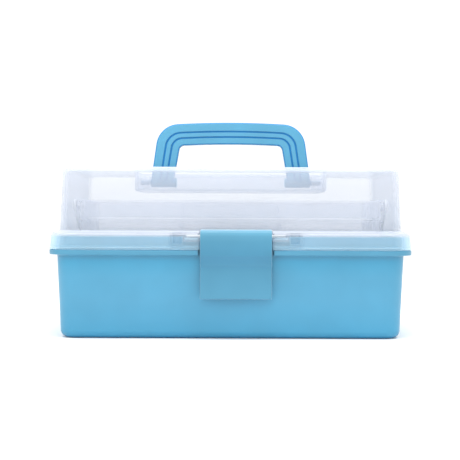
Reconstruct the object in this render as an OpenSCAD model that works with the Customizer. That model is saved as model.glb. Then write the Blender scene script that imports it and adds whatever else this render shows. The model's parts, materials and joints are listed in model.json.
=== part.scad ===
// Three-layer art supply box: a moulded base, a clear lid on a rear hinge, a folding handle,
// a front latch, and two trays on parallel links that rise and step back as the lid opens.
// Millimetres, +Z up, +X to the right, and the front faces -Y.
// The origin is the centre of the underside.

/* [Base] */
// Width across the rim flange
box_w = 330; // [326:1:334]
// Depth across the rim flange
box_d = 200; // [198:1:202]
// Plan radius of the flange's corners
corner_r = 25; // [24.5:0.5:26]
// Height of the flange's top face
base_h = 80; // [79:0.5:80]
// Thickness of the rim flange
flange_t = 4.5; // [3:0.5:6]
// How far the flange stands out from the wall
flange_out = 7; // [6.5:0.5:7]
// How far each wall leans in, from the flange down to the floor
base_lean = 3.5; // [2:0.5:5]
// Radius of the edge round the underside
base_edge_r = 11; // [8:1:12]
// Wall thickness of the big mouldings
wall = 2; // [1.8:0.1:2.2]
// Height of the lip that stands on the flange, inside the lid
lip_h = 12; // [10:1:12]

/* [Lid] */
// Height of the lid's top face
lid_top = 155; // [154:1:157]
// Gap between the lid's skirt and the flange
skirt_gap = 0.3; // [0.3:0.1:0.6]
// Height where the shoulder meets the lid's upper wall
shoulder_z = 97; // [96.5:0.5:98]
// How far the upper wall stands in from the flange's edge, at the shoulder
lid_step = 9.5; // [9:0.5:10]
// How far each upper wall leans in towards the top
lid_lean = 2; // [1:0.5:3]
// Radius of the lid's top edge
lid_edge_r = 11; // [8:1:12]

/* [Handle] */
// Height of the handle's axle
handle_z = 143.5; // [143:0.5:144]
// Height of the top of the grip, at its middle
handle_top = 202.3; // [198:0.1:203]
// Width across the feet
handle_w = 156.8; // [150:0.1:158]
// Height of the grip bar
grip_h = 21.1; // [20:0.1:24]
// Thickness of the handle, front to back
handle_t = 11; // [9:0.5:11]
// Width of the recess in the lid's top
recess_w = 184; // [182:1:188]
// Depth of the recess below the lid's top face
recess_h = 18.6; // [18.6:0.1:19]

/* [Latch] */
// Sideways place of the latch's middle: it sits a little to the right
latch_x = 5; // [0:1:6]
// Width of the latch
latch_w = 64; // [60:1:66]
// Height of the latch's lower edge
latch_low = 36.6; // [34:0.1:45]
// Height of the latch's axis
latch_z = 92.5; // [92:0.5:93]
// Radius of the latch's rolled top
latch_r = 6; // [5.5:0.5:6]
// Thickness of the latch
latch_t = 2.5; // [2:0.1:2.5]

/* [Trays] */
// Width across the tray rims
tray_w = 278; // [274:1:278]
// Front edge of both trays, measured forward from the box's middle
tray_front = 84; // [80:1:84]
// Rear edge of both trays, measured back from the box's middle
tray_rear = 46; // [42:1:46]
// Heights of the lower tray's underside and rim
lower_tray_z = [87, 106.5];
// Heights of the upper tray's underside and rim
upper_tray_z = [107, 124.9];

/* [Linkage] */
// Distance from a link's base pivot to its upper tray pivot
link_l = 68.5; // [66:0.5:69]
// Angle of the links when the box is shut, up from the back
link_shut = 148; // [146:1:148]
// Height of the base pivots
pivot_z = 84; // [83.5:0.5:84.5]
// How far back the rear base pivot is from the box's middle
rear_pivot_y = 60; // [58:1:62]
// Distance between the front and rear pivots
pivot_gap = 70; // [66:1:72]
// Radius of the rivets' shanks
rivet_r = 2; // [1.8:0.1:2.2]
// Radial clearance of everything that turns on a pin
run_gap = 0.06; // [0.04:0.01:0.08]

/* [Hidden] */
$fn = 64;

// Colours of the mouldings
sky_blue = [0.41, 0.71, 0.86];
milky_clear = [0.90, 0.92, 0.95, 0.45];
link_blue = [0.36, 0.66, 0.82];
steel = [0.75, 0.76, 0.78];

// Centre of each rounded corner, as seen from above
corner_x = box_w / 2 - corner_r;
corner_y = box_d / 2 - corner_r;

// Base wall: its distance out from the corner centre at height z
base_wall_h = base_h - flange_t;
base_lean_a = atan(base_lean / base_wall_h);
base_top_r = corner_r - flange_out;
function base_r(z) = base_top_r - (base_wall_h - z) * tan(base_lean_a);
base_edge_z = base_edge_r * (1 - sin(base_lean_a));
base_edge_c = [base_r(base_edge_z) - base_edge_r * cos(base_lean_a), base_edge_r];
lip_top = base_h + lip_h;
lip_foot = 1.5;
lip_foot_h = 3.5;

// Lid: its skirt, shoulder and upper wall, as distances out from the corner centre
skirt_z = base_h + skirt_gap;
skirt_r = corner_r - 0.5;
shoulder_r = 4.5;
shoulder_a = 72;
shoulder_c = [skirt_r - 1.4 - shoulder_r, shoulder_z - 5.7];
lid_foot_r = corner_r - lid_step;
lid_edge_z = lid_top - lid_edge_r;
lid_lean_a = atan(lid_lean / (lid_edge_z - shoulder_z));
function lid_r(z) = lid_foot_r - (z - shoulder_z) * tan(lid_lean_a);
lid_edge_c = [lid_r(lid_edge_z) - lid_edge_r, lid_edge_z];

// Rear hinge between the base and the lid
hinge_y = box_d / 2 + 0.5;
hinge_z = base_h + 6;
hinge_x = 95;
hinge_lug_r = 4.2;
hinge_lug_w = 8;
hinge_knuckle_w = 15.2;
hinge_pin_r = 1.5;
side_gap = 0.4;
hinge_half = hinge_knuckle_w / 2 + side_gap + hinge_lug_w;

// Handle recess and bearings
recess_front = -12;
recess_rear = 66;
recess_floor = lid_top - recess_h;
recess_corner = 6;
bearing_x = 79.5;
bearing_t = 12;
bearing_top = 149.5;
trunnion_r = 2.5;
trunnion_end = 88;
foot_r = 4.7;
foot_in = 53;

// Handle outline, in the XZ plane
handle_splay = 8;
grip_arch_r = 900;
grip_corner_r = 22.6;
inner_splay = 10;
inner_half = 52.4;
inner_at_z = 166;
inner_corner_r = 5;
groove_at = [8, 13.3];
groove_w = 1.2;
groove_d = 1.2;
groove_end = 148.4;

// Latch and its pin
latch_y = -96.5;
latch_face = latch_y - latch_r;
latch_jog = 3.2;
latch_flare = 2.2;
latch_jog_top = base_h - 5;
latch_jog_low = latch_jog_top - 9;
latch_roll_end = 50;
knuckle_r = 3.7;
knuckle_w = 9;
latch_pin_r = 1.5;
latch_side_gap = 0.75;
boss_w = 13.7;
boss_r = 3.8;
boss_in = 1.2;
notch_half = latch_w / 2 + 2;
low_lip_half = latch_w / 2 + latch_side_gap + boss_w + 1.5;
low_lip = 4;
catch_half = 28;
catch_z = [68, 74];
catch_out = 2.6;

// Open pockets in the shoulder, beside the latch bosses
pocket_at = 52.6;
pocket_w = 13.6;
pocket_z = [83, 95.5];
pocket_wall = 2.6;
pocket_face = box_d / 2 + 0.4;
pocket_depth = 6.4;
pocket_back = 1.6;

// Wall of the lid behind the latch, clear of its rolled top and of the low lip
latch_wall_y = 0.5 - corner_y - lid_foot_r;
latch_wall_z = base_h + low_lip + 0.5;
latch_cheek_y = latch_y + boss_in - 0.3;

// Linkage layers, as distances out from the middle of the box
tray_half = tray_w / 2;
tray_skin = tray_half - 1.5;
tray_wall = 2;
tray_rim_h = 2.4;
tray_corner = 8;
divider_t = 1.6;
layer_gap = 0.3;
link_t = 2.5;
link_r = 6;
link_in = tray_half + 2.2;
link_out = link_in + link_t;
lid_link_in = link_out + layer_gap;
lid_link_out = lid_link_in + link_t;
head_t = 1.3;
head_r = 4;
tray_boss_r = 4.5;
base_boss_r = 6;
lid_boss_r = 5.5;
rivet_bite = 9;
lid_rivet_bite = 6;

// Pivots, as [y, z], with the box shut
link_dir = [cos(link_shut), sin(link_shut)];
rear_base = [rear_pivot_y, pivot_z];
front_base = rear_base - [pivot_gap, 0];
rear_lower = rear_base + link_l / 2 * link_dir;
front_lower = front_base + link_l / 2 * link_dir;
rear_upper = rear_base + link_l * link_dir;
front_upper = front_base + link_l * link_dir;
lid_link_v = [hinge_y, hinge_z] - rear_base;
lid_pivot = rear_upper + lid_link_v;

// Points of an arc about c, from angle a0 to angle a1
function arc(c, r, a0, a1, n = 8) = [
    for (i = [0:n]) c + r * [cos(a0 + (a1 - a0) * i / n), sin(a0 + (a1 - a0) * i / n)]
];

function mirrored(points) = [for (i = [len(points) - 1:-1:0]) [-points[i][0], points[i][1]]];

// Right half of a handle outline: an arched top, a round corner and a splayed leg through
// the point p, down to the height end
function leg_x(p, splay, z) = p[0] + (p[1] - z) * tan(splay);

function corner_u(k, t, d) = (k * t + sqrt(k * k * t * t - (1 + t * t) * (k * k - d * d))) / (1 + t * t);

function half_outline(top, arch, r, p, splay, end) =
    let (base = top - arch)
    let (k = leg_x(p, splay, base) - r / cos(splay))
    let (u = corner_u(k, tan(splay), arch - r))
    let (c = [k - u * tan(splay), base + u])
    let (a = atan2(u, c[0]))
    concat(arc([0, base], arch, 90, a, 6), arc(c, r, a, splay, 10), [[leg_x(p, splay, end), end]]);

function outline(top, arch, r, p, splay, end) =
    let (half = half_outline(top, arch, r, p, splay, end))
    concat(half, mirrored(half));

// Outer outline of the handle, moved in by inset
function grip_outline(inset, end) = outline(
    handle_top - inset,
    grip_arch_r - inset,
    grip_corner_r - inset,
    [handle_w / 2 - inset / cos(handle_splay), handle_z],
    handle_splay,
    end
);

// Repeats the children on the left and on the right
module both_sides() {
    children();
    mirror([1, 0, 0]) children();
}

// Turns a drawing of [y, z] into a solid from x0 to x1
module along_x(x0, x1) {
    translate([x0, 0, 0])
        rotate([90, 0, 90])
            linear_extrude(x1 - x0) children();
}

// Cylinder along X at p = [y, z]
module rod(p, r, x0, x1) {
    translate([x0, p[0], p[1]])
        rotate([0, 90, 0]) cylinder(h = x1 - x0, r = r);
}

// Sweeps a section round the box. The section's x is the distance out from the corner centre.
module round_box() {
    for (mx = [0, 1], my = [0, 1])
        mirror([mx, 0, 0])
            mirror([0, my, 0])
                translate([corner_x, corner_y, 0]) rotate_extrude(angle = 90) children();
    for (mx = [0, 1])
        mirror([mx, 0, 0])
            translate([corner_x, corner_y, 0]) rotate([90, 0, 0]) linear_extrude(2 * corner_y) children();
    for (my = [0, 1])
        mirror([0, my, 0])
            translate([-corner_x, corner_y, 0]) rotate([90, 0, 90]) linear_extrude(2 * corner_x) children();
}

// Rounded rectangle from [x0, y0] to [x1, y1]
module round_rect(x0, y0, x1, y1, r) {
    translate([x0 + r, y0]) square([x1 - x0 - 2 * r, y1 - y0]);
    translate([x0, y0 + r]) square([x1 - x0, y1 - y0 - 2 * r]);
    for (x = [x0 + r, x1 - r], y = [y0 + r, y1 - r])
        translate([x, y]) circle(r);
}

// Slab of a rounded rectangle, centred on the box's middle line
module round_slab(half_w, y0, y1, z0, z1, r) {
    translate([0, 0, z0]) linear_extrude(z1 - z0) round_rect(-half_w, y0, half_w, y1, r);
}

// ---- Base ----

// Section of the base: floor edge, leaning wall, flange and lip
module base_section() {
    skin = wall / cos(base_lean_a);
    polygon(concat(
        [[0, 0]],
        arc(base_edge_c, base_edge_r, -90, -base_lean_a),
        [
            [base_top_r, base_wall_h],
            [corner_r, base_wall_h],
            [corner_r, base_h],
            [base_top_r + lip_foot, base_h],
            [base_top_r + lip_foot, base_h + lip_foot_h - lip_foot],
            [base_top_r, base_h + lip_foot_h],
            [base_top_r, lip_top],
            [base_top_r - wall, lip_top],
            [base_top_r - wall, base_wall_h],
            [base_r(base_wall_h) - skin, base_wall_h]
        ],
        arc(base_edge_c, base_edge_r - wall, -base_lean_a, -90),
        [[0, wall]]
    ));
}

// Lug that carries a hinge pin, standing on the flange
module hinge_lug(x0) {
    along_x(x0, x0 + hinge_lug_w)
        union() {
            translate([hinge_y, hinge_z]) circle(hinge_lug_r);
            translate([hinge_y - hinge_lug_r, base_wall_h]) square([2 * hinge_lug_r, hinge_z - base_wall_h]);
        }
}

// Pivot boss inside the base's side wall, with a rib under it
module base_boss(p) {
    x0 = link_out + layer_gap;
    x1 = corner_x + base_top_r - wall / 2;
    rod(p, base_boss_r, x0, x1);
    translate([0, p[0] + wall / 2, 0])
        rotate([90, 0, 0])
            linear_extrude(wall)
                polygon([[x0 + 1, p[1]], [x1, p[1]], [x1 - 1, p[1] - 22], [x1 - 3, p[1] - 22]]);
}

module base_bin() {
    color(sky_blue)
        difference() {
            union() {
                difference() {
                    union() {
                        round_box() base_section();
                        translate([-corner_x, -corner_y, 0]) cube([2 * corner_x, 2 * corner_y, wall]);
                    }
                    // gap in the flange, and low stretch of the lip behind the latch and its bosses
                    translate([latch_x - notch_half, -box_d / 2 - 1, base_wall_h - 1])
                        cube([2 * notch_half, flange_out + 1, lip_h + flange_t + 2]);
                    translate([latch_x - low_lip_half, -box_d / 2 - 1, base_h + low_lip])
                        cube([2 * low_lip_half, flange_out + wall + 2, lip_h]);
                }
                // catch for the latch
                translate([latch_x - catch_half, -corner_y - base_top_r - catch_out, catch_z[0]])
                    cube([2 * catch_half, catch_out + wall / 2, catch_z[1] - catch_z[0]]);
                both_sides() {
                    base_boss(rear_base);
                    base_boss(front_base);
                    hinge_lug(hinge_x - hinge_half);
                    hinge_lug(hinge_x + hinge_half - hinge_lug_w);
                }
            }
            both_sides() {
                rod(rear_base, rivet_r, link_out, link_out + layer_gap + rivet_bite);
                rod(front_base, rivet_r, link_out, link_out + layer_gap + rivet_bite);
                rod([hinge_y, hinge_z], hinge_pin_r, hinge_x - hinge_half - 1, hinge_x + hinge_half + 1);
            }
        }
}

module hinge_pin() {
    color(steel) rod([hinge_y, hinge_z], hinge_pin_r, hinge_x - hinge_half, hinge_x + hinge_half);
}

module hinge_pin_right() {
    hinge_pin();
}

module hinge_pin_left() {
    mirror([1, 0, 0]) hinge_pin();
}

// ---- Lid ----

// Section of the lid: skirt, shoulder, leaning wall and top edge
module lid_section() {
    skin = wall / cos(lid_lean_a);
    foot = shoulder_c + shoulder_r * [cos(shoulder_a), sin(shoulder_a)];
    inner_foot = shoulder_c + (shoulder_r - wall) * [cos(shoulder_a), sin(shoulder_a)];
    polygon(concat(
        [[skirt_r - wall, skirt_z], [skirt_r, skirt_z]],
        arc(shoulder_c, shoulder_r, 0, shoulder_a),
        [
            [lid_foot_r + 0.8, foot[1] + (foot[0] - lid_foot_r - 0.8) / tan(shoulder_a)],
            [lid_r(shoulder_z + 1.2), shoulder_z + 1.2]
        ],
        arc(lid_edge_c, lid_edge_r, 0, 90),
        [[0, lid_top], [0, lid_top - wall]],
        arc(lid_edge_c, lid_edge_r - wall, 90, 0),
        [[lid_foot_r - skin, inner_foot[1] + (inner_foot[0] - lid_foot_r + skin) / tan(shoulder_a)]],
        arc(shoulder_c, shoulder_r - wall, shoulder_a, 0)
    ));
}

// Knuckle of the rear hinge, and the arm that joins it to the skirt
module hinge_knuckle() {
    along_x(hinge_x - hinge_knuckle_w / 2, hinge_x + hinge_knuckle_w / 2)
        union() {
            translate([hinge_y, hinge_z]) circle(hinge_lug_r);
            translate([corner_y + skirt_r - wall, hinge_z]) square([hinge_y + hinge_lug_r - corner_y - skirt_r + wall, 5]);
        }
}

// Block beside the latch that holds one end of its pin
module latch_boss(x0) {
    along_x(x0, x0 + boss_w)
        union() {
            translate([latch_y, latch_z]) circle(boss_r);
            translate([latch_y - boss_r, skirt_z]) square([boss_r + boss_in, latch_z - skirt_z]);
        }
}

// U-shaped wall of one shoulder pocket, as seen from the front
module pocket_wall_shape(x) {
    difference() {
        translate([x - pocket_w / 2, pocket_z[0]]) square([pocket_w, pocket_z[1] - pocket_z[0]]);
        translate([x - pocket_w / 2 + pocket_wall, pocket_z[0] + pocket_wall])
            square([pocket_w - 2 * pocket_wall, pocket_z[1] - pocket_z[0]]);
    }
}

module lid_shell() {
    boss_at = latch_w / 2 + latch_side_gap;
    color(milky_clear)
        difference() {
            union() {
                difference() {
                    union() {
                        round_box() lid_section();
                        translate([-corner_x, -corner_y, lid_top - wall]) cube([2 * corner_x, 2 * corner_y, wall]);
                        round_slab(recess_w / 2 + wall, recess_front - wall, recess_rear + wall,
                            recess_floor - wall, lid_top - wall / 2, recess_corner + wall);
                    }
                    round_slab(recess_w / 2, recess_front, recess_rear, recess_floor, lid_top + 1, recess_corner);
                    // gap in the skirt and shoulder for the latch
                    translate([latch_x - boss_at, -box_d / 2 - 1, skirt_z - 1])
                        cube([2 * boss_at, box_d / 2 + 1 - corner_y - lid_foot_r, shoulder_z + 3 - skirt_z]);
                    // slots of the shoulder pockets
                    for (side = [-1, 1])
                        translate([latch_x + side * pocket_at - pocket_w / 2 + pocket_wall,
                            -box_d / 2 - 1, pocket_z[0] + pocket_wall])
                            cube([pocket_w - 2 * pocket_wall, pocket_depth - pocket_back + 0.6,
                                pocket_z[1] - pocket_z[0]]);
                    // gaps in the skirt for the base's hinge lugs
                    both_sides()
                        for (x = [hinge_x - hinge_half, hinge_x + hinge_half - hinge_lug_w])
                            translate([x - side_gap, hinge_y - hinge_lug_r - 0.5, skirt_z - 1])
                                cube([hinge_lug_w + 2 * side_gap, 10, hinge_z + hinge_lug_r + 1.8 - skirt_z]);
                }
                latch_boss(latch_x - boss_at - boss_w);
                latch_boss(latch_x + boss_at);
                translate([latch_x - boss_at - 1, latch_wall_y, latch_wall_z])
                    cube([2 * boss_at + 2, wall, shoulder_z + 1 - latch_wall_z]);
                // cheeks from the latch bosses back to that wall
                for (x = [latch_x - boss_at - wall, latch_x + boss_at])
                    translate([x, latch_cheek_y, latch_wall_z])
                        cube([wall, latch_wall_y + wall - latch_cheek_y, shoulder_z - wall / 2 - latch_wall_z]);
                for (side = [-1, 1]) {
                    translate([0, -pocket_face + pocket_depth, 0])
                        rotate([90, 0, 0])
                            linear_extrude(pocket_depth) pocket_wall_shape(latch_x + side * pocket_at);
                    translate([latch_x + side * pocket_at - pocket_w / 2,
                        -pocket_face + pocket_depth - pocket_back, pocket_z[0]])
                        cube([pocket_w, pocket_back, pocket_z[1] - pocket_z[0]]);
                }
                both_sides() {
                    hinge_knuckle();
                    // boss that carries the lid link
                    rod(lid_pivot, lid_boss_r, lid_link_out + layer_gap, corner_x + lid_r(lid_pivot[1]) - wall / 2);
                    // bearing block for the handle
                    translate([bearing_x, -bearing_t / 2, recess_floor - wall / 2])
                        cube([recess_w / 2 + wall / 2 - bearing_x, bearing_t, bearing_top - recess_floor + wall / 2]);
                }
            }
            rod([latch_y, latch_z], latch_pin_r, latch_x - boss_at - boss_w + 2, latch_x + boss_at + boss_w - 2);
            both_sides() {
                rod([hinge_y, hinge_z], hinge_pin_r + run_gap,
                    hinge_x - hinge_knuckle_w, hinge_x + hinge_knuckle_w);
                rod(lid_pivot, rivet_r, lid_link_out, lid_link_out + layer_gap + lid_rivet_bite);
                rod([0, handle_z], trunnion_r + run_gap, bearing_x - 1, trunnion_end + 1);
            }
        }
}

// ---- Handle ----

module handle() {
    color(sky_blue) {
        difference() {
            translate([0, handle_t / 2, 0])
                rotate([90, 0, 0])
                    linear_extrude(handle_t)
                        difference() {
                            polygon(grip_outline(0, handle_z));
                            polygon(outline(handle_top - grip_h, grip_arch_r - grip_h, inner_corner_r,
                                [inner_half, inner_at_z], inner_splay, handle_z - 1));
                        }
            for (back = [0, 1], at = groove_at)
                mirror([0, back, 0])
                    translate([0, -handle_t / 2 + groove_d, 0])
                        rotate([90, 0, 0])
                            linear_extrude(groove_d + 1)
                                difference() {
                                    polygon(grip_outline(at, groove_end));
                                    polygon(grip_outline(at + groove_w, groove_end - 1));
                                }
        }
        both_sides() {
            rod([0, handle_z], foot_r, foot_in, handle_w / 2);
            rod([0, handle_z], trunnion_r, handle_w / 2 - 1, trunnion_end);
        }
    }
}

// ---- Latch ----

// Section of the latch: rolled top, straight front, step in under the rim and flared tab
module latch_section() {
    axis = [latch_y, latch_z];
    polygon(concat(
        arc(axis, latch_r, latch_roll_end, 180, 14),
        [
            [latch_face, latch_jog_top],
            [latch_face + latch_jog, latch_jog_low],
            [latch_face + latch_jog - latch_flare, latch_low],
            [latch_face + latch_jog - latch_flare + latch_t, latch_low],
            [latch_face + latch_jog + latch_t, latch_jog_low],
            [latch_face + latch_t, latch_jog_top]
        ],
        arc(axis, latch_r - latch_t, 180, latch_roll_end, 14)
    ));
}

module latch() {
    color(sky_blue)
        difference() {
            union() {
                along_x(latch_x - latch_w / 2, latch_x + latch_w / 2) latch_section();
                for (x0 = [latch_x - latch_w / 2, latch_x - knuckle_w / 2, latch_x + latch_w / 2 - knuckle_w])
                    rod([latch_y, latch_z], knuckle_r, x0, x0 + knuckle_w);
            }
            rod([latch_y, latch_z], latch_pin_r + run_gap, latch_x - latch_w, latch_x + latch_w);
        }
}

module latch_pin() {
    reach = latch_w / 2 + latch_side_gap + boss_w - 2;
    color(steel) rod([latch_y, latch_z], latch_pin_r, latch_x - reach, latch_x + reach);
}

// ---- Trays ----

// One tray: z = [underside, rim], with pivot bosses at the [y, z] points in pivots
module tray(z, pivots) {
    difference() {
        union() {
            difference() {
                union() {
                    round_slab(tray_skin, 1.5 - tray_front, tray_rear - 1.5, z[0], z[1], tray_corner);
                    round_slab(tray_half, -tray_front, tray_rear, z[1] - tray_rim_h, z[1], tray_corner + 1.5);
                }
                round_slab(tray_skin - tray_wall, 1.5 + tray_wall - tray_front, tray_rear - 1.5 - tray_wall,
                    z[0] + tray_wall, z[1] + 1, tray_corner - tray_wall);
            }
            children();
            both_sides()
                for (p = pivots)
                    rod(p, tray_boss_r, tray_skin - tray_wall, link_in - layer_gap);
        }
        both_sides()
            for (p = pivots)
                rod(p, rivet_r, tray_skin - tray_wall - 1, link_in);
    }
}

// Divider across a tray at x, from y0 to y1
module cross_divider(x, y0, y1, z) {
    translate([x - divider_t / 2, y0, z[0] + tray_wall / 2]) cube([divider_t, y1 - y0, z[1] - z[0] - 4]);
}

module lower_tray() {
    color(milky_clear)
        tray(lower_tray_z, [rear_lower, front_lower])
            for (x = [-tray_half / 3, tray_half / 3])
                cross_divider(x, 2.5 - tray_front, tray_rear - 2.5, lower_tray_z);
}

// Place of the lengthwise divider in the upper tray
upper_split_y = -tray_front + 56;

module upper_tray() {
    color(milky_clear)
        tray(upper_tray_z, [rear_upper, front_upper]) {
            translate([1 - tray_skin, upper_split_y - divider_t / 2, upper_tray_z[0] + tray_wall / 2])
                cube([2 * tray_skin - 2, divider_t, upper_tray_z[1] - upper_tray_z[0] - 4]);
            for (x = [-tray_half / 3, tray_half / 3])
                cross_divider(x, upper_split_y, tray_rear - 2.5, upper_tray_z);
        }
}

// ---- Links ----

// Flat bar from x0 to x1 through the [y, z] pivots, with a bore at each
module link(pivots, x0, x1) {
    first = pivots[0];
    span = pivots[len(pivots) - 1] - first;
    color(link_blue)
        difference() {
            union() {
                rod(first, link_r, x0, x1);
                rod(first + span, link_r, x0, x1);
                along_x(x0, x1)
                    translate(first)
                        rotate(atan2(span[1], span[0]))
                            translate([0, -link_r]) square([norm(span), 2 * link_r]);
            }
            for (p = pivots)
                rod(p, rivet_r + run_gap, x0 - 1, x1 + 1);
        }
}

module front_link_right() {
    link([front_base, front_lower, front_upper], link_in, link_out);
}

module front_link_left() {
    mirror([1, 0, 0]) front_link_right();
}

module rear_link_right() {
    link([rear_base, rear_lower, rear_upper], link_in, link_out);
}

module rear_link_left() {
    mirror([1, 0, 0]) rear_link_right();
}

module lid_link_right() {
    link([rear_upper, lid_pivot], lid_link_in, lid_link_out);
}

module lid_link_left() {
    mirror([1, 0, 0]) lid_link_right();
}

// ---- Rivets ----

// Rivet with a shank from x0 to x1 and a head outside each end that is marked 1
module rivet(p, x0, x1, heads) {
    rod(p, rivet_r, x0, x1);
    if (heads[0] == 1)
        rod(p, head_r, x0 - head_t, x0);
    if (heads[1] == 1)
        rod(p, head_r, x1, x1 + head_t);
}

module base_rivets() {
    color(steel)
        both_sides()
            for (p = [rear_base, front_base])
                rivet(p, link_in - layer_gap, link_out + layer_gap + rivet_bite, [1, 0]);
}

module lower_tray_rivets() {
    color(steel)
        both_sides()
            for (p = [rear_lower, front_lower])
                rivet(p, tray_skin - tray_wall, link_out + layer_gap, [1, 1]);
}

module upper_tray_front_rivets() {
    color(steel) both_sides() rivet(front_upper, tray_skin - tray_wall, link_out + layer_gap, [1, 1]);
}

module upper_tray_rear_rivets() {
    color(steel) both_sides() rivet(rear_upper, tray_skin - tray_wall, lid_link_out + layer_gap, [1, 1]);
}

module lid_rivets() {
    color(steel)
        both_sides()
            rivet(lid_pivot, lid_link_in - layer_gap, lid_link_out + layer_gap + lid_rivet_bite, [1, 0]);
}

base_bin();
lid_shell();
handle();
latch();
latch_pin();
hinge_pin_left();
hinge_pin_right();
lower_tray();
upper_tray();
front_link_left();
front_link_right();
rear_link_left();
rear_link_right();
lid_link_left();
lid_link_right();
base_rivets();
lower_tray_rivets();
upper_tray_front_rivets();
upper_tray_rear_rivets();
lid_rivets();
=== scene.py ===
"""Looks of the art supply box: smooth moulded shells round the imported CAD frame, in metres."""

import json
import math

import bmesh
import bpy
from mathutils import Matrix, Vector


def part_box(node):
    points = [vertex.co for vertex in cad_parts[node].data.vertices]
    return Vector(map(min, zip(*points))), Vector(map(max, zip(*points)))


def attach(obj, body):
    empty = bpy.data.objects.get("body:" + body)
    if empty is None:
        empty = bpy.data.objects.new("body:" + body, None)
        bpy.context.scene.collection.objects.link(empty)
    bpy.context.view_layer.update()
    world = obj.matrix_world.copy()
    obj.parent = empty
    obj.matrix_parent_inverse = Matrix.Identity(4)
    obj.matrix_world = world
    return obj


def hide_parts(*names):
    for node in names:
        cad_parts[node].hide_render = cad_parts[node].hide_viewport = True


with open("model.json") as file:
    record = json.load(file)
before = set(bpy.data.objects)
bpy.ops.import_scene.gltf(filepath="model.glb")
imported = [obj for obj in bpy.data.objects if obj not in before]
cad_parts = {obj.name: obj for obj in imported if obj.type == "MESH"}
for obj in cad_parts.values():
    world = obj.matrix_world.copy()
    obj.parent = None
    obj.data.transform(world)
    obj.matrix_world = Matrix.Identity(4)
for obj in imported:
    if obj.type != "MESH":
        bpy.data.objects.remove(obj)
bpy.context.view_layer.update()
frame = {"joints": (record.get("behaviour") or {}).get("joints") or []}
joints = {j["name"]: j for j in frame["joints"]}

MM = 0.001


# ---- Places, in millimetres, worked out from the frame ----


def node_box(node):
    """Lowest and highest corner of a CAD node, in millimetres."""
    low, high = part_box(node)
    return Vector(low) / MM, Vector(high) / MM


def pivot(joint):
    """[y, z] of a joint's axis, in millimetres."""
    return joints[joint]["pos_m"][1] / MM, joints[joint]["pos_m"][2] / MM


base_low, base_high = node_box("base_bin")
lid_low, lid_high = node_box("lid_shell")
latch_low, latch_high = node_box("latch")
handle_low, handle_high = node_box("handle")

HALF_W = base_high.x
HALF_D = -base_low.y
CORNER = 25.0  # plan radius of the flange's corners
CORNER_X = HALF_W - CORNER
CORNER_Y = HALF_D - CORNER
WALL = 2.0
LIP_TOP = base_high.z
FLANGE_TOP = LIP_TOP - 12
FLANGE_LOW = FLANGE_TOP - 4.5
BASE_TOP_R = CORNER - 7
BASE_LEAN = 3.5
BASE_EDGE = 11.0
LID_TOP = lid_high.z
LID_EDGE = 11.0
SKIRT_LOW = lid_low.z
SHOULDER = FLANGE_TOP + 17
LID_FOOT_R = CORNER - 9.5
LID_LEAN = 2.0
LATCH_X = (latch_low.x + latch_high.x) / 2
LATCH_HALF = (latch_high.x - latch_low.x) / 2
LATCH_AXIS = pivot("latch_hinge")
HANDLE_AXIS = pivot("handle_hinge")
HINGE_AXIS = pivot("lid_hinge")
HINGE_X = 95.0
HINGE_HALF = 16.0
LUG_W = 8.0
LUG_R = 4.2
PIN_R = 1.5
LUGS_AT = (HINGE_X - HINGE_HALF, HINGE_X + HINGE_HALF - LUG_W)
PIN_BORE_R = PIN_R + 0.06
HANDLE_T = handle_high.y - handle_low.y
RECESS_HALF = 92.0
RECESS_FRONT = -12.0
RECESS_REAR = 66.0
RECESS_CORNER = 6.0
RECESS_FLOOR = LID_TOP - 18.6
BOSS_AT = LATCH_HALF + 0.75
BOSS_W = 13.7
POCKET_AT = 52.6
POCKET_HALF = 6.8
POCKET_SLOT = 4.2  # half the width of a pocket's slot
POCKET_BACK = 4.4  # how deep a pocket is, from the flange's front
TRAY_HALF = node_box("lower_tray")[1].x - 1.9  # half the width across a rim, inside the pivot bosses
LINK_R = 6.0
RIVET_DOME = 1.3
GRIP_H = 21.1
GROOVES_AT = (0.377, 0.632)  # where the grooves start, as shares of the grip's height
GROOVE_SHARE = 0.080
GROOVE_DEPTH = 1.2


# ---- Mesh helpers ----


def fillet(points, segments=5):
    """An open outline of (x, y, radius) points as (x, y), with each inner corner rounded to its radius."""
    made = [points[0][:2]]
    for before, here, after in zip(points, points[1:], points[2:]):
        p = Vector(here[:2])
        a, b = Vector(before[:2]) - p, Vector(after[:2]) - p
        radius = here[2]
        turn = a.angle(b)
        if radius <= 0 or turn > math.pi - 0.01:
            made.append(tuple(p))
            continue
        reach = min(radius / math.tan(turn / 2), a.length * 0.49, b.length * 0.49)
        radius = reach * math.tan(turn / 2)
        middle = (a.normalized() + b.normalized()).normalized()
        centre = p + middle * (radius / math.sin(turn / 2))
        start, end = p + a.normalized() * reach - centre, p + b.normalized() * reach - centre
        sweep = start.angle_signed(end)
        for i in range(segments + 1):
            made.append(tuple(centre + Matrix.Rotation(-sweep * i / segments, 2) @ start))
    made.append(points[-1][:2])
    return made


def ring(half_x, half_y, r, z, middle_y=0.0, segments=12):
    """Points of a rounded rectangle at height z. half_x and half_y are the corner centres."""
    points = []
    for quarter, (sx, sy) in enumerate(((1, 1), (-1, 1), (-1, -1), (1, -1))):
        for i in range(segments + 1):
            angle = math.radians(90) * (quarter + i / segments)
            points.append((
                sx * half_x + r * math.cos(angle),
                middle_y + sy * half_y + r * math.sin(angle),
                z,
            ))
    return points


def loft(rings, closed=False):
    """Vertices and faces through rings of equal length. The ends get a cap, or join if closed."""
    count = len(rings[0])
    vertices = [v for r in rings for v in r]
    faces = []
    steps = len(rings) if closed else len(rings) - 1
    for k in range(steps):
        low, high = k * count, (k + 1) % len(rings) * count
        for i in range(count):
            j = (i + 1) % count
            faces.append((low + i, low + j, high + j, high + i))
    if not closed:
        faces.append(tuple(reversed(range(count))))
        faces.append(tuple(range((len(rings) - 1) * count, len(rings) * count)))
    return vertices, faces


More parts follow.
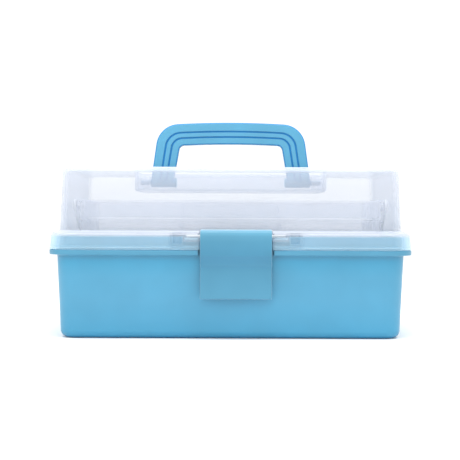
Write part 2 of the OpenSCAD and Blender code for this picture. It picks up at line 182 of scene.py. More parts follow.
def solid(name, vertices, faces):
    """A closed mesh object from millimetre vertices, with its normals out."""
    mesh = bpy.data.meshes.new(name)
    mesh.from_pydata([Vector(v) * MM for v in vertices], [], faces)
    mesh.validate()
    piece = bpy.data.objects.new(name, mesh)
    bpy.context.scene.collection.objects.link(piece)
    outward(piece)
    return piece


def outward(piece):
    """Turns the normals of a closed mesh outwards."""
    work = bmesh.new()
    work.from_mesh(piece.data)
    bmesh.ops.remove_doubles(work, verts=work.verts, dist=1e-7)
    bmesh.ops.recalc_face_normals(work, faces=work.faces)
    if work.calc_volume(signed=True) < 0:
        bmesh.ops.reverse_faces(work, faces=work.faces)
    work.to_mesh(piece.data)
    work.free()


def apply_modifiers(piece):
    """Bakes a piece's modifiers into its mesh."""
    bpy.context.view_layer.update()
    graph = bpy.context.evaluated_depsgraph_get()
    mesh = bpy.data.meshes.new_from_object(piece.evaluated_get(graph))
    piece.modifiers.clear()
    piece.data = mesh


def combine(piece, tools, operation):
    """Adds the tools to a piece (UNION) or cuts them from it (DIFFERENCE), and deletes them."""
    for tool in tools:
        step = piece.modifiers.new("combine", "BOOLEAN")
        step.operation = operation
        step.solver = "EXACT"
        step.object = tool
        apply_modifiers(piece)
        bpy.data.objects.remove(tool)


def soften(piece, width=0.4, bevel=True):
    """Rounds the sharp edges a little and sets smooth shading."""
    if bevel:
        step = piece.modifiers.new("soft_edges", "BEVEL")
        step.width = width * MM
        step.segments = 2
        step.limit_method = "ANGLE"
        step.angle_limit = math.radians(48)
        step.use_clamp_overlap = True
        apply_modifiers(piece)
    piece.data.shade_smooth()
    piece.data.set_sharp_from_angle(angle=math.radians(40))
    weigh = piece.modifiers.new("even_normals", "WEIGHTED_NORMAL")
    weigh.keep_sharp = True
    apply_modifiers(piece)


def block(low, high):
    """Box between two corners."""
    corners = [(x, y, z) for x in (low[0], high[0]) for y in (low[1], high[1]) for z in (low[2], high[2])]
    faces = [(0, 1, 3, 2), (4, 6, 7, 5), (0, 4, 5, 1), (2, 3, 7, 6), (0, 2, 6, 4), (1, 5, 7, 3)]
    return solid("block", corners, faces)


def along_x(outline, x0, x1):
    """Prism of a closed (y, z) outline from x0 to x1."""
    rings = [[(x, y, z) for y, z in outline] for x in (x0, x1)]
    return solid("bar", *loft(rings))


def arc(centre, r, degrees):
    """Points (y, z) round a centre, at the given angles in degrees."""
    y, z = centre
    return [(y + r * math.cos(math.radians(a)), z + r * math.sin(math.radians(a))) for a in degrees]


def circle(centre, r, count):
    return [
        (centre[0] + r * math.cos(2 * math.pi * i / count), centre[1] + r * math.sin(2 * math.pi * i / count))
        for i in range(count)
    ]


def turned(axis, profile, name="turned", count=40):
    """Solid of revolution about an axis along X at (y, z), through (x, radius) points."""
    rings = []
    for x, r in profile:
        rings.append([(x, y, z) for y, z in circle(axis, max(r, 0.01), count)])
    return solid(name, *loft(rings))


def rod(axis, r, x0, x1, edge=0.3, name="rod"):
    """Pin along X with softened ends."""
    ends = [(x0, r - edge), (x0 + edge * 0.3, r - edge * 0.3), (x0 + edge, r)]
    ends += [(x1 - edge, r), (x1 - edge * 0.3, r - edge * 0.3), (x1, r - edge)]
    return turned(axis, ends, name)


def mirror_x(piece):
    """Mirrored copy of a piece, on the other side of the box."""
    mesh = piece.data.copy()
    mesh.transform(Matrix.Scale(-1, 4, Vector((1, 0, 0))))
    mesh.flip_normals()
    other = bpy.data.objects.new(piece.name, mesh)
    bpy.context.scene.collection.objects.link(other)
    return other


def both_sides(make):
    """The tool that make() gives, and its mirror image."""
    right = make()
    return [right, mirror_x(right)]


def join(pieces, name):
    """One object from several closed meshes."""
    work = bmesh.new()
    for piece in pieces:
        work.from_mesh(piece.data)
        bpy.data.objects.remove(piece)
    mesh = bpy.data.meshes.new(name)
    work.to_mesh(mesh)
    work.free()
    made = bpy.data.objects.new(name, mesh)
    bpy.context.scene.collection.objects.link(made)
    return made


# ---- Materials ----


def new_material(name):
    """Material, its node tree and its Principled shader."""
    material = bpy.data.materials.new(name)
    material.use_nodes = True
    tree = material.node_tree
    return material, tree, tree.nodes["Principled BSDF"]


def noise(tree, scale, detail=3.0, roughness=0.5):
    """Noise over the object's own coordinates, in metres. Returns its Fac socket."""
    place = tree.nodes.new("ShaderNodeTexCoord")
    node = tree.nodes.new("ShaderNodeTexNoise")
    node.inputs["Scale"].default_value = scale
    node.inputs["Detail"].default_value = detail
    node.inputs["Roughness"].default_value = roughness
    tree.links.new(place.outputs["Object"], node.inputs["Vector"])
    return node.outputs["Fac"]


def blend_colours(tree, factor, dark, light):
    """Colour socket that goes from dark to light as factor rises from 0.3 to 0.7."""
    ramp = tree.nodes.new("ShaderNodeValToRGB")
    ramp.color_ramp.elements[0].position = 0.3
    ramp.color_ramp.elements[0].color = (*dark, 1)
    ramp.color_ramp.elements[1].position = 0.7
    ramp.color_ramp.elements[1].color = (*light, 1)
    tree.links.new(factor, ramp.inputs["Fac"])
    return ramp.outputs["Color"]


def spread(tree, factor, low, high):
    """Value socket that goes from low to high with factor."""
    node = tree.nodes.new("ShaderNodeMapRange")
    node.inputs["From Min"].default_value = 0.3
    node.inputs["From Max"].default_value = 0.7
    node.inputs["To Min"].default_value = low
    node.inputs["To Max"].default_value = high
    tree.links.new(factor, node.inputs["Value"])
    return node.outputs["Result"]


def add_bump(tree, shader, height, strength, distance):
    bump = tree.nodes.new("ShaderNodeBump")
    bump.inputs["Strength"].default_value = strength
    bump.inputs["Distance"].default_value = distance
    tree.links.new(height, bump.inputs["Height"])
    tree.links.new(bump.outputs["Normal"], shader.inputs["Normal"])


def milky(name, colour, rough, alpha, edge_alpha):
    """Translucent moulding: it hides more of what is behind it where it is seen along its wall."""
    material = moulded(name, colour, rough=rough, tone=0.02, grain=0.03)
    tree = material.node_tree
    shader = tree.nodes["Principled BSDF"]
    facing = tree.nodes.new("ShaderNodeLayerWeight")
    facing.inputs["Blend"].default_value = 0.35
    ramp = tree.nodes.new("ShaderNodeMapRange")
    ramp.inputs["From Min"].default_value = 0.08
    ramp.inputs["From Max"].default_value = 0.85
    ramp.inputs["To Min"].default_value = alpha
    ramp.inputs["To Max"].default_value = edge_alpha
    tree.links.new(facing.outputs["Facing"], ramp.inputs["Value"])
    tree.links.new(ramp.outputs["Result"], shader.inputs["Alpha"])
    shader.inputs["Specular IOR Level"].default_value = 0.9
    return material


def moulded(name, colour, rough, tone=0.05, alpha=1.0, grain=0.06):
    """Moulded polypropylene: faint flow clouds in its colour, satin patches and a fine skin texture."""
    material, tree, shader = new_material(name)
    dark = [c * (1 - tone) for c in colour]
    light = [min(1.0, c * (1 + tone)) for c in colour]
    clouds = noise(tree, 22.0, 2.0)
    tree.links.new(blend_colours(tree, clouds, dark, light), shader.inputs["Base Color"])
    tree.links.new(spread(tree, noise(tree, 90.0, 4.0), *rough), shader.inputs["Roughness"])
    add_bump(tree, shader, noise(tree, 900.0, 2.0), grain, 0.0004)
    shader.inputs["IOR"].default_value = 1.49
    shader.inputs["Alpha"].default_value = alpha
    return material


def painted_light_by_height(material, stops):
    """Multiplies a material's colour by painted light and shade that change with height: (height in mm,
    colour) stops.
    """
    tree = material.node_tree
    shader = tree.nodes["Principled BSDF"]
    reach = 200.0
    place = tree.nodes.new("ShaderNodeTexCoord")
    parts = tree.nodes.new("ShaderNodeSeparateXYZ")
    scale = tree.nodes.new("ShaderNodeMapRange")
    scale.inputs["From Max"].default_value = reach * MM
    ramp = tree.nodes.new("ShaderNodeValToRGB")
    elements = ramp.color_ramp.elements
    while len(elements) < len(stops):
        elements.new(0.5)
    for element, (height, tone) in zip(elements, stops):
        element.position = height / reach
        element.color = (*tone, 1)
    product = tree.nodes.new("ShaderNodeMix")
    product.data_type = "RGBA"
    product.blend_type = "MULTIPLY"
    product.inputs["Factor"].default_value = 1.0
    tree.links.new(place.outputs["Object"], parts.inputs["Vector"])
    tree.links.new(parts.outputs["Z"], scale.inputs["Value"])
    tree.links.new(scale.outputs["Result"], ramp.inputs["Fac"])
    tree.links.new(shader.inputs["Base Color"].links[0].from_socket, product.inputs["A"])
    tree.links.new(ramp.outputs["Color"], product.inputs["B"])
    tree.links.new(product.outputs["Result"], shader.inputs["Base Color"])


def painted_rim_highlight(material, colour, start=0.45):
    """Painted rim highlight: lightens a translucent moulding's colour where it turns away from the eye."""
    tree = material.node_tree
    shader = tree.nodes["Principled BSDF"]
    facing = tree.nodes.new("ShaderNodeLayerWeight")
    facing.inputs["Blend"].default_value = 0.5
    amount = tree.nodes.new("ShaderNodeMapRange")
    amount.inputs["From Min"].default_value = start
    mix = tree.nodes.new("ShaderNodeMix")
    mix.data_type = "RGBA"
    mix.inputs["B"].default_value = (*colour, 1)
    tree.links.new(facing.outputs["Facing"], amount.inputs["Value"])
    tree.links.new(amount.outputs["Result"], mix.inputs["Factor"])
    tree.links.new(shader.inputs["Base Color"].links[0].from_socket, mix.inputs["A"])
    tree.links.new(mix.outputs["Result"], shader.inputs["Base Color"])


def wire_steel():
    """Bright drawn wire, with fine lines along its length."""
    material, tree, shader = new_material("wire_steel")
    place = tree.nodes.new("ShaderNodeTexCoord")
    stretch = tree.nodes.new("ShaderNodeMapping")
    stretch.inputs["Scale"].default_value = (40, 2200, 2200)
    lines = tree.nodes.new("ShaderNodeTexNoise")
    lines.inputs["Scale"].default_value = 1.0
    tree.links.new(place.outputs["Object"], stretch.inputs["Vector"])
    tree.links.new(stretch.outputs["Vector"], lines.inputs["Vector"])
    tree.links.new(spread(tree, lines.outputs["Fac"], 0.18, 0.34), shader.inputs["Roughness"])
    tree.links.new(
        blend_colours(tree, lines.outputs["Fac"], (0.55, 0.56, 0.58), (0.68, 0.69, 0.70)),
        shader.inputs["Base Color"],
    )
    shader.inputs["Metallic"].default_value = 1.0
    return material


BASE_BLUE = moulded("base_blue", (0.072, 0.300, 0.470), rough=(0.30, 0.40))
# Painted shade: the blue darkens towards the floor and just under the flange, and the flange band is greyer.
painted_light_by_height(BASE_BLUE, [
    (0, (0.25, 0.72, 0.92)), (3, (0.62, 0.93, 0.97)), (16, (0.78, 0.96, 0.98)), (36, (0.96, 1, 1)),
    (56, (0.92, 1, 1)), (70, (0.64, 0.95, 0.97)), (76, (0.90, 0.86, 0.84)), (80, (0.90, 0.86, 0.84)),
])
GRIP_BLUE = moulded("grip_blue", (0.080, 0.325, 0.500), rough=(0.32, 0.42))
# Painted shade: a darker, deeper blue for the faces inside the handle's grooves.
GROOVE_SHADE_BLUE = moulded("groove_painted_shade", (0.0, 0.200, 0.500), rough=(0.45, 0.55))
LATCH_BLUE = moulded("latch_blue", (0.060, 0.240, 0.370), rough=(0.28, 0.38))
# Painted light on the latch: a painted highlight on its rolled top and painted shade round the jog in its
# middle.
painted_light_by_height(LATCH_BLUE, [
    (38, (1.06, 1.04, 1.03)), (60, (0.92, 0.97, 0.97)), (70, (0.70, 0.86, 0.91)), (76, (0.72, 0.88, 0.92)),
    (88, (0.95, 1, 1)), (93, (1.3, 1.15, 1.1)),
])
# Painted rim highlight along the latch's edges.
painted_rim_highlight(LATCH_BLUE, (0.62, 0.80, 0.92), 0.38)
CLEAR_LID = milky("milky_lid", (0.68, 0.725, 0.81), (0.16, 0.24), 0.21, 0.80)
# Painted light on the lid: a painted blue cast on the skirt where the blue base shows through, and a painted
# highlight towards the top edge.
painted_light_by_height(CLEAR_LID, [
    (80, (0.84, 1.14, 1.2)), (91, (0.86, 1.12, 1.2)), (94, (1, 1, 1)), (104, (0.97, 1, 1.02)),
    (136, (1, 1, 1)), (154, (1.1, 1.1, 1.1)),
])
CLEAR_TRAY = milky("milky_tray", (0.70, 0.74, 0.83), (0.20, 0.30), 0.20, 0.55)
LINK_MILKY = moulded("milky_link", (0.85, 0.87, 0.92), rough=(0.30, 0.42), tone=0.04, alpha=0.5)
STEEL = wire_steel()


def finish_piece(piece, material, body, node):
    """Gives a piece its place in the object, and its material unless it has its own already."""
    if material:
        piece.data.materials.clear()
        piece.data.materials.append(material)
    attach(piece, body)
    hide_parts(node)


def plan_ring(r, z):
    """Ring round the box, r outside the corner centres."""
    return ring(CORNER_X, CORNER_Y, r, z)


# ---- Base ----


def base_wall_r(z):
    """Plan radius of the base's leaning wall at height z."""
    return BASE_TOP_R - BASE_LEAN * (FLANGE_LOW - z) / FLANGE_LOW


def make_base():
    foot = base_wall_r(0)
    section = fillet([
        (0.5, 0, 0),
        (foot, 0, BASE_EDGE),
        (BASE_TOP_R, FLANGE_LOW, 1.2),
        (CORNER, FLANGE_LOW, 0.9),
        (CORNER, FLANGE_TOP, 1.2),
        (BASE_TOP_R + 1.5, FLANGE_TOP, 0.7),
        (BASE_TOP_R + 1.5, FLANGE_TOP + 2.4, 0.6),
        (BASE_TOP_R, FLANGE_TOP + 3.6, 0.6),
        (BASE_TOP_R, LIP_TOP, 0.8),
        (BASE_TOP_R - WALL, LIP_TOP, 0.8),
        (BASE_TOP_R - WALL, FLANGE_LOW, 2.0),
        (foot - WALL, WALL, BASE_EDGE - WALL),
        (0.5, WALL, 0),
    ], 6)
    piece = solid("base_shell", *loft([plan_ring(r, z) for r, z in section]))
    front = -HALF_D - 2
    notch = LATCH_HALF + 2
    low_half = BOSS_AT + BOSS_W + 1.5
    wall_y = -CORNER_Y - BASE_TOP_R
    top = LIP_TOP + 1
    combine(piece, [
        block((LATCH_X - notch, front, FLANGE_LOW - 1), (LATCH_X + notch, wall_y, top)),
        block((LATCH_X - low_half, front, FLANGE_TOP + 4), (LATCH_X + low_half, wall_y + WALL + 1, top)),
    ], "DIFFERENCE")
    tools = [catch_bar(wall_y)]
    for joint in ("rear_link_right_pivot", "front_link_right_pivot"):
        tools += both_sides(lambda: base_boss(pivot(joint)))
    for x0 in LUGS_AT:
        tools += both_sides(lambda: hinge_lug(x0))
    combine(piece, tools, "UNION")
    soften(piece)
    finish_piece(piece, BASE_BLUE, "base", "base_bin")


def catch_bar(wall_y):
    """Bar on the front wall that the latch snaps over."""
    outline = fillet([
        (wall_y + 1, 74, 0), (wall_y - 2.5, 73, 0.8), (wall_y - 2.5, 69.5, 0.8), (wall_y + 0.9, 68, 0),
    ], 4)
    return along_x(outline, LATCH_X - 28, LATCH_X + 28)


def base_boss(axis):
    """Boss on the base's end wall that a link turns on, with a rib below it."""
    x0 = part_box("rear_link_right")[1].x / MM + 0.3
    x1 = CORNER_X + BASE_TOP_R - 0.8
    boss = turned(axis, [(x0, 5.5), (x0 + 0.5, 6), (x1, 6)])
    rib = block((x0 + 1.5, axis[0] - 1, axis[1] - 16), (x1 - 0.6, axis[0] + 1, axis[1]))
    for v in rib.data.vertices:
        if v.co.z < (axis[1] - 8) * MM and v.co.x < (x1 - 6) * MM:
            v.co.x = (x1 - 3) * MM
    combine(boss, [rib], "UNION")
    return boss


def hinge_lug(x0):
    """Lug of the base, round a hinge pin that it holds tightly."""
    y = HINGE_AXIS[0]
    low = FLANGE_LOW + 0.1
    outline = arc(HINGE_AXIS, LUG_R, range(0, 181, 9)) + [(y - LUG_R, low), (y + LUG_R, low)]
    lug = along_x(outline, x0, x0 + LUG_W)
    bore = rod(HINGE_AXIS, PIN_R, x0 - 1, x0 + LUG_W + 1, 0.0)
    combine(lug, [bore], "DIFFERENCE")
    return lug


# ---- Lid ----


def lid_wall_r(z):
    """Plan radius of the lid's leaning wall at height z."""
    return LID_FOOT_R - LID_LEAN * (z - SHOULDER) / (LID_TOP - LID_EDGE - SHOULDER)


def recess_ring(grow, z):
    """Ring round the handle recess, grown outwards by grow."""
    half_y = (RECESS_REAR - RECESS_FRONT) / 2
    middle = (RECESS_REAR + RECESS_FRONT) / 2
    return ring(RECESS_HALF - RECESS_CORNER, half_y - RECESS_CORNER, RECESS_CORNER + grow, z, middle)


def make_lid():
    skirt = CORNER - 0.5
    top_r = lid_wall_r(LID_TOP)
    shoulder_top = SHOULDER - 1.2
    outer = fillet([
        (3.0, LID_TOP, 0),
        (top_r, LID_TOP, LID_EDGE),
        (LID_FOOT_R, SHOULDER + 0.3, 1.6),
        (skirt - 1.2, shoulder_top - 1.0, 4.6),
        (skirt - 0.1, SKIRT_LOW + 2.1, 0.5),
        (skirt + 0.45, SKIRT_LOW + 1.6, 0.4),
        (skirt + 0.45, SKIRT_LOW, 0.5),
        (skirt - WALL, SKIRT_LOW, 0.5),
        (skirt - WALL - 1.2, shoulder_top - 3.0, 2.6),
        (LID_FOOT_R - WALL, SHOULDER - 1.9, 1.6),
        (top_r - WALL, LID_TOP - WALL, LID_EDGE - WALL),
        (3.0, LID_TOP - WALL, 0),
    ], 6)
    pocket = fillet([
        (-4.0, RECESS_FLOOR, 0),
        (0.0, RECESS_FLOOR, 2.0),
        (0.0, LID_TOP, 1.6),
        (4.0, LID_TOP, 0),
    ], 5)
    under = fillet([
        (5.0, LID_TOP - WALL, 0),
        (WALL, LID_TOP - WALL, 1.0),
        (WALL, RECESS_FLOOR - WALL, 3.0),
        (-4.0, RECESS_FLOOR - WALL, 0),
    ], 5)
    rings = [recess_ring(r, z) for r, z in pocket]
    rings += [plan_ring(r, z) for r, z in outer]
    rings += [recess_ring(r, z) for r, z in under]
    piece = solid("lid_shell_clear", *loft(rings))
    front = -HALF_D - 2
    step_y = -CORNER_Y - LID_FOOT_R
    cuts = [block((LATCH_X - BOSS_AT, front, SKIRT_LOW - 1), (LATCH_X + BOSS_AT, step_y, SHOULDER + 2.5))]
    y, z = HINGE_AXIS
    side_gap = 0.4
    for x0 in LUGS_AT:
        cuts += both_sides(lambda: block(
            (x0 - side_gap, y - LUG_R - 0.5, SKIRT_LOW - 1), (x0 + LUG_W + side_gap, y + 6, z + LUG_R + 1)
        ))
    for side in (-1, 1):
        middle = LATCH_X + side * POCKET_AT
        cuts.append(block(
            (middle - POCKET_SLOT, front, 85.6), (middle + POCKET_SLOT, -HALF_D + POCKET_BACK, 98.2)
        ))
    combine(piece, cuts, "DIFFERENCE")
    tools = [latch_boss(LATCH_X - BOSS_AT - BOSS_W), latch_boss(LATCH_X + BOSS_AT)]
    tools += [pocket_frame(LATCH_X + side * POCKET_AT) for side in (-1, 1)]
    tools += [pocket_back(LATCH_X + side * POCKET_AT) for side in (-1, 1)]
    wall_low = FLANGE_TOP + 4.5
    tools.append(block(
        (LATCH_X - BOSS_AT - 1, step_y + 0.5, wall_low), (LATCH_X + BOSS_AT + 1, step_y + 2.5, SHOULDER + 1)
    ))
    for x0 in (LATCH_X - BOSS_AT - WALL, LATCH_X + BOSS_AT):
        cheek_y = LATCH_AXIS[0] + 0.9
        tools.append(block((x0 + 0.1, cheek_y, wall_low + 0.1), (x0 + 1.9, step_y + 2.4, SHOULDER - 1.2)))
    tools += both_sides(hinge_knuckle)
    tools += both_sides(lid_boss)
    tools += both_sides(bearing_block)
    combine(piece, tools, "UNION")
    bores = both_sides(lambda: rod(HANDLE_AXIS, 2.56, 70, 89, 0.0))
    reach = BOSS_AT + BOSS_W - 2
    bores.append(rod(LATCH_AXIS, PIN_R, LATCH_X - reach, LATCH_X + reach, 0.0))
    combine(piece, bores, "DIFFERENCE")
    soften(piece)
    finish_piece(piece, CLEAR_LID, "lid", "lid_shell")


def latch_boss(x0):
    """Boss beside the latch that holds one end of its pin."""
    r = 3.8
    y, z = LATCH_AXIS
    low = SKIRT_LOW + 0.2
    outline = arc(LATCH_AXIS, r, range(0, 181, 9))
    outline += [(y - r, low), (y + 1.2, low), (y + 1.2, z - 3), (y + 3.6, z - 1.5)]
    return along_x(outline, x0 + 0.02, x0 + BOSS_W)


def pocket_frame(middle):
    """U-shaped wall of a pocket in the shoulder."""
    half, inner, low, high = POCKET_HALF, POCKET_SLOT, 83.0, 95.5
    bottom, chamfer = low + half - inner, 1.5
    outline = [
        (-half, high), (-half, low + chamfer), (-half + chamfer, low),
        (half - chamfer, low), (half, low + chamfer), (half, high),
        (inner, high), (inner, bottom), (-inner, bottom), (-inner, high),
    ]
    rings = [[(middle + x, y, z) for x, z in outline] for y in (-HALF_D - 0.4, -HALF_D + 6.0)]
    return solid("pocket", *loft(rings))


def pocket_back(middle):
    """Back wall of a pocket."""
    half = POCKET_HALF - 0.1
    return block((middle - half, -HALF_D + POCKET_BACK, 83.4), (middle + half, -HALF_D + 5.9, 95.4))


def hinge_knuckle():
    """Knuckle of the lid between the base's two lugs."""
    y, z = HINGE_AXIS
    outline = arc(HINGE_AXIS, LUG_R, range(150, 361, 10))
    outline += [(y + LUG_R, z + 5), (y - 2.6, z + 5), (y - 2.8, z + 2.5)]
    knuckle = along_x(outline, HINGE_X - 7.6, HINGE_X + 7.6)
    combine(knuckle, [rod(HINGE_AXIS, PIN_BORE_R, HINGE_X - 9, HINGE_X + 9, 0.0)], "DIFFERENCE")
    return knuckle


def lid_boss():
    """Boss on the lid's end wall that carries the lid link."""
    axis = pivot("lid_link_right_pivot")
    x0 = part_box("lid_link_right")[1].x / MM + 0.3
    return turned(axis, [(x0, 5.0), (x0 + 0.5, 5.5), (CORNER_X + lid_wall_r(axis[1]) - 0.8, 5.5)])


def bearing_block():
    """Block beside a foot of the handle, with a rounded top."""
    outline = fillet([
        (-6, RECESS_FLOOR - 1, 0), (-6, 149.5, 4.0), (6, 149.5, 4.0), (6, RECESS_FLOOR - 1, 0),
    ], 6)
    return along_x(outline, 79.5, RECESS_HALF + 1)


# ---- Handle ----


def leg_outline(top, arch, corner, point, splay, end):
    """Right half of a handle outline as (x, z): an arched top, a round corner and a splayed leg."""
    steps = 12
    t = math.tan(splay)
    low = top - arch
    k = point[0] + (point[1] - low) * t - corner / math.cos(splay)
    d = arch - corner
    u = (k * t + math.sqrt(k * k * t * t - (1 + t * t) * (k * k - d * d))) / (1 + t * t)
    centre = (k - u * t, low + u)
    meet = math.atan2(u, centre[0])
    points = []
    for i in range(9):
        a = math.pi / 2 + (meet - math.pi / 2) * i / 8
        points.append((arch * math.cos(a), low + arch * math.sin(a)))
    for i in range(1, steps + 1):
        a = meet + (splay - meet) * i / steps
        points.append((centre[0] + corner * math.cos(a), centre[1] + corner * math.sin(a)))
    start = points[-1]
    for i in range(1, steps + 1):
        z = start[1] + (end - start[1]) * i / steps
        points.append((start[0] + (start[1] - z) * t, z))
    return points


def make_handle():
    top = handle_high.z
    foot_x = 78.4
    axis_z = HANDLE_AXIS[1]
    arch = 900
    outer = leg_outline(top, arch, 22.6, (foot_x, axis_z), math.radians(8), axis_z)
    inner = leg_outline(top - GRIP_H, arch - GRIP_H, 5.0, (52.4, 166), math.radians(10), axis_z)
    half = HANDLE_T / 2
    # across the bar, outside to inside: (share of the bar's height, distance forward, corner radius)
    section = [(0.0, half - 3.0, 0), (0.0, half, 3.0)]
    for at in GROOVES_AT:
        section += [
            (at, half, 0.25), (at + 0.004, half - GROOVE_DEPTH, 0.1),
            (at + GROOVE_SHARE - 0.004, half - GROOVE_DEPTH, 0.1), (at + GROOVE_SHARE, half, 0.25),
        ]
    section += [(1.0, half, 2.2), (1.0, half - 2.6, 0)]
    front = fillet([(s * GRIP_H, y, r) for s, y, r in section], 4)
    around = [(s / GRIP_H, -y) for s, y in front] + [(s / GRIP_H, y) for s, y in reversed(front)]
    path = [(o, i) for o, i in zip(outer, inner)]
    left = [((-o[0], o[1]), (-i[0], i[1])) for o, i in reversed(path[1:])]
    rings = []
    for o, i in left + path:
        rings.append([
            (o[0] + (i[0] - o[0]) * s, y, o[1] + (i[1] - o[1]) * s) for s, y in around
        ])
    piece = solid("handle_grip", *loft(rings))
    piece.data.materials.append(GRIP_BLUE)
    piece.data.materials.append(GROOVE_SHADE_BLUE)
    # Faces sunk in the grooves take the painted-shade groove material.
    for face in piece.data.polygons:
        sunk = half - abs(face.center.y) / MM
        if 0.15 < sunk < 1.6 and abs(face.normal.y) > 0.2:
            face.material_index = 1
    feet = both_sides(lambda: rod(HANDLE_AXIS, 4.7, 53, foot_x, 1.2))
    pegs = both_sides(lambda: rod(HANDLE_AXIS, 2.5, foot_x - 2, 88, 0.5))
    combine(piece, feet + pegs, "UNION")
    soften(piece, bevel=False)
    finish_piece(piece, None, "handle", "handle")


# ---- Latch ----


def make_latch():
    r, t = 6.0, 2.5
    face = LATCH_AXIS[0] - r
    jog_top, jog_low, low = FLANGE_TOP - 5, FLANGE_TOP - 14, latch_low.z
    roll = [50 + 130 * i / 16 for i in range(17)]
    outer = [(*p, 0) for p in arc(LATCH_AXIS, r, roll)]
    inner = [(*p, 0) for p in reversed(arc(LATCH_AXIS, r - t, roll))]
    outline = [
        *outer,
        (face, jog_top, 6.0), (face + 3.2, jog_low, 5.0), (face + 1.0, low, 0.9),
        (face + 1.0 + t, low, 0.9), (face + 3.2 + t, jog_low, 5.0), (face + t, jog_top, 6.0),
        *inner,
    ]
    section = fillet(outline, 6)
    x0, x1 = latch_low.x, latch_high.x
    edge = 0.9
    across = list(zip(section, reversed(section)))
    steps = [(x0, 0.55), (x0 + edge * 0.3, 0.25), (x0 + edge, 0.0)]
    steps += [(x1 - edge, 0.0), (x1 - edge * 0.3, 0.25), (x1, 0.55)]
    rings = []
    for x, shrink in steps:
        rings.append([
            (x, p[0] + (q[0] - p[0]) * shrink * 0.5, p[1] + (q[1] - p[1]) * shrink * 0.5)
            for p, q in across
        ])
    piece = solid("latch_panel", *loft(rings))
    knuckles = [
        turned(LATCH_AXIS, [(a, 3.7), (a + 9, 3.7)]) for a in (x0 + 0.3, LATCH_X - 4.5, x1 - 9.3)
    ]
    combine(piece, knuckles, "UNION")
    combine(piece, [rod(LATCH_AXIS, PIN_BORE_R, x0 - 1, x1 + 1, 0.0)], "DIFFERENCE")
    soften(piece, bevel=False)
    finish_piece(piece, LATCH_BLUE, "latch", "latch")


# ---- Trays ----


def make_tray(node, dividers):
    low, high = node_box(node)
    front, rear = low.y, high.y
    z0, z1 = low.z, high.z
    middle = (front + rear) / 2
    corner = 9.5
    half_x, half_y = TRAY_HALF - corner, (rear - front) / 2 - corner

    def tray_ring(r, z):
        return ring(half_x, half_y, r, z, middle)

    section = fillet([
        (1.0, z0, 0),
        (corner - 2.0, z0, 2.4),
        (corner - 1.5, z1 - 2.4, 0.5),
        (corner, z1 - 2.4, 0.6),
        (corner, z1, 1.0),
        (corner - 3.5, z1, 1.0),
        (corner - 3.9, z0 + WALL, 2.2),
        (1.0, z0 + WALL, 0),
    ], 5)
    piece = solid(f"{node}_clear", *loft([tray_ring(r, z) for r, z in section]))
    tools = [
        block((x0, y0, z0 + WALL - 0.5), (x1, y1, z1 - 3))
        for x0, x1, y0, y1 in dividers(front + 2.4, rear - 2.4)
    ]
    for axis in tray_pivots(node):
        tools += both_sides(
            lambda: turned(axis, [(TRAY_HALF - 3.2, 4.5), (TRAY_HALF + 1.4, 4.5), (TRAY_HALF + 1.9, 4.0)])
        )
    combine(piece, tools, "UNION")
    soften(piece, width=0.3)
    finish_piece(piece, CLEAR_TRAY, node, node)


def tray_pivots(node):
    """[y, z] of the tray's two pivots: its joint at the rear, and one a link gap further forward."""
    rear = pivot(f"{node}_pivot")
    gap = pivot("rear_link_right_pivot")[0] - pivot("front_link_right_pivot")[0]
    return [rear, (rear[0] - gap, rear[1])]


THIRD = TRAY_HALF / 3


def lower_dividers(y0, y1):
    """The lower tray's dividers as (x0, x1, y0, y1)."""
    return [(x - 0.8, x + 0.8, y0, y1) for x in (-THIRD, THIRD)]


def upper_dividers(y0, y1):
    """The upper tray's dividers: one along its length, and two behind that one."""
    split = -28.0
    across = [(x - 0.8, x + 0.8, split, y1) for x in (-THIRD, THIRD)]
    reach = TRAY_HALF - 2.8
    return [(-reach, reach, split - 0.8, split + 0.8), *across]


# ---- Links, rivets and pins ----


def make_link(node, pivots):
    """Flat bar with round ends and a hole at each pivot."""
    low, high = node_box(node)
    x0, x1 = low.x, high.x
    first, last = Vector(pivots[0]), Vector(pivots[-1])
    along = (last - first).normalized()
    side = math.atan2(along.y, along.x)
    outline = []
    for end, start in ((last, side - math.pi / 2), (first, side + math.pi / 2)):
        for i in range(25):
            a = start + math.pi * i / 24
            outline.append((end.x + LINK_R * math.cos(a), end.y + LINK_R * math.sin(a)))
    edge = 0.5
    steps = [(x0, edge), (x0 + 0.15, edge * 0.4), (x0 + edge, 0)]
    steps += [(x1 - edge, 0), (x1 - 0.15, edge * 0.4), (x1, edge)]
    rings = []
    for x, shrink in steps:
        size = 1 - shrink / LINK_R
        scaled = []
        for i, p in enumerate(outline):
            end = last if i < 25 else first
            scaled.append((x, end.x + (p[0] - end.x) * size, end.y + (p[1] - end.y) * size))
        rings.append(scaled)
    piece = solid(f"{node}_bar", *loft(rings))
    combine(piece, [rod(p, 2.06, x0 - 1, x1 + 1, 0.0) for p in pivots], "DIFFERENCE")
    soften(piece, bevel=False)
    finish_piece(piece, LINK_MILKY, node, node)


def make_links():
    for side in ("left", "right"):
        for place in ("front", "rear"):
            base = Vector(pivot(f"{place}_link_{side}_pivot"))
            rear_base = Vector(pivot(f"rear_link_{side}_pivot"))
            reach = Vector(pivot("upper_tray_pivot")) - rear_base
            pivots = [base, base + reach / 2, base + reach]
            make_link(f"{place}_link_{side}", pivots)
        node = f"lid_link_{side}"
        pivots = [Vector(pivot("upper_tray_pivot")), Vector(pivot(f"{node}_pivot"))]
        make_link(node, pivots)


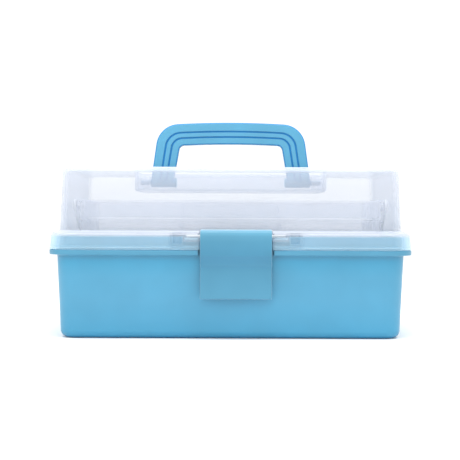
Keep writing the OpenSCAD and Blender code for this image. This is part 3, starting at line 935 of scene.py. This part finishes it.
def rivet(axis, x0, x1, head_out):
    """Rivet along X: its shank from x0 to x1, a domed head at x0, and one at x1 if head_out."""
    shank, head = 2.0, 4.0
    dome = [(1.0, 1.2), (0.8, 2.9), (0.35, 3.8), (0.0, head)]
    profile = [(x0 - RIVET_DOME * share, r) for share, r in dome] + [(x0, shank)]
    if head_out:
        profile += [(x1, shank)] + [(x1 + RIVET_DOME * share, r) for share, r in reversed(dome)]
    else:
        profile += [(x1 - 0.3, shank), (x1, shank - 0.3)]
    return turned(axis, profile, "rivet", 32)


def make_rivets(node, body, axes, head_out=True):
    """The rivets of one node, on both sides of the box."""
    x1 = node_box(node)[1].x - (RIVET_DOME if head_out else 0)
    made = []
    for axis in axes:
        made += both_sides(lambda: rivet(axis, rivet_starts[node], x1, head_out))
    piece = join(made, f"{node}_heads")
    soften(piece, bevel=False)
    finish_piece(piece, LINK_MILKY, body, node)


rivet_starts = {
    "base_rivets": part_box("rear_link_right")[0].x / MM - 0.3,
    "lower_tray_rivets": TRAY_HALF - 3.5,
    "upper_tray_front_rivets": TRAY_HALF - 3.5,
    "upper_tray_rear_rivets": TRAY_HALF - 3.5,
    "lid_rivets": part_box("lid_link_right")[0].x / MM - 0.3,
}


def make_all_rivets():
    bases = [pivot("rear_link_right_pivot"), pivot("front_link_right_pivot")]
    make_rivets("base_rivets", "base", bases, head_out=False)
    make_rivets("lower_tray_rivets", "lower_tray", tray_pivots("lower_tray"))
    rear, front = tray_pivots("upper_tray")
    make_rivets("upper_tray_front_rivets", "upper_tray", [front])
    make_rivets("upper_tray_rear_rivets", "upper_tray", [rear])
    make_rivets("lid_rivets", "lid", [pivot("lid_link_right_pivot")], head_out=False)


def make_pins():
    for node, body, axis in (
        ("hinge_pin_left", "base", HINGE_AXIS),
        ("hinge_pin_right", "base", HINGE_AXIS),
        ("latch_pin", "lid", LATCH_AXIS),
    ):
        low, high = node_box(node)
        piece = rod(axis, PIN_R, low.x, high.x, 0.3, f"{node}_wire")
        soften(piece, bevel=False)
        finish_piece(piece, STEEL, body, node)


make_base()
make_lid()
make_handle()
make_latch()
make_tray("lower_tray", lower_dividers)
make_tray("upper_tray", upper_dividers)
make_links()
make_all_rivets()
make_pins()


# ---- Stage: floor, light and camera ----


def make_floor():
    mesh = bpy.data.meshes.new("floor")
    reach = 12.0
    corners = [(-reach, -reach, 0), (reach, -reach, 0), (reach, reach, 0), (-reach, reach, 0)]
    mesh.from_pydata(corners, [], [(0, 1, 2, 3)])
    floor = bpy.data.objects.new("floor", mesh)
    bpy.context.scene.collection.objects.link(floor)
    material, _, shader = new_material("pale_floor")
    shader.inputs["Base Color"].default_value = (0.92, 0.92, 0.92, 1)
    shader.inputs["Roughness"].default_value = 0.9
    floor.data.materials.append(material)


def area_light(name, place, target, size, power):
    data = bpy.data.lights.new(name, "AREA")
    data.shape = "RECTANGLE"
    data.size, data.size_y = size
    data.energy = power
    light = bpy.data.objects.new(name, data)
    light.location = place
    light.rotation_euler = (Vector(target) - Vector(place)).to_track_quat("-Z", "Y").to_euler()
    bpy.context.scene.collection.objects.link(light)


def make_light():
    world = bpy.data.worlds.new("studio")
    bpy.context.scene.world = world
    world.use_nodes = True
    world.node_tree.nodes["Background"].inputs["Color"].default_value = (1, 1, 1, 1)
    world.node_tree.nodes["Background"].inputs["Strength"].default_value = 1.12
    area_light("top", (0, -0.25, 1.3), (0, -0.05, 0.1), (1.6, 0.5), 14)
    area_light("front", (-0.5, -1.8, 1.1), (0, 0, 0.1), (1.4, 1.0), 6)


def make_camera():
    data = bpy.data.cameras.new("camera")
    data.lens = 79.25
    data.sensor_width = 36
    data.clip_start, data.clip_end = 0.05, 50
    camera = bpy.data.objects.new("camera", data)
    camera.location = (-0.0005, -1.0, 0.110)
    camera.rotation_euler = (math.radians(90 - 0.75), math.radians(-0.22), 0)
    bpy.context.scene.collection.objects.link(camera)
    bpy.context.scene.camera = camera


make_floor()
make_light()
make_camera()
bpy.context.scene.view_settings.view_transform = "Standard"
bpy.context.scene.cycles.transparent_max_bounces = 40
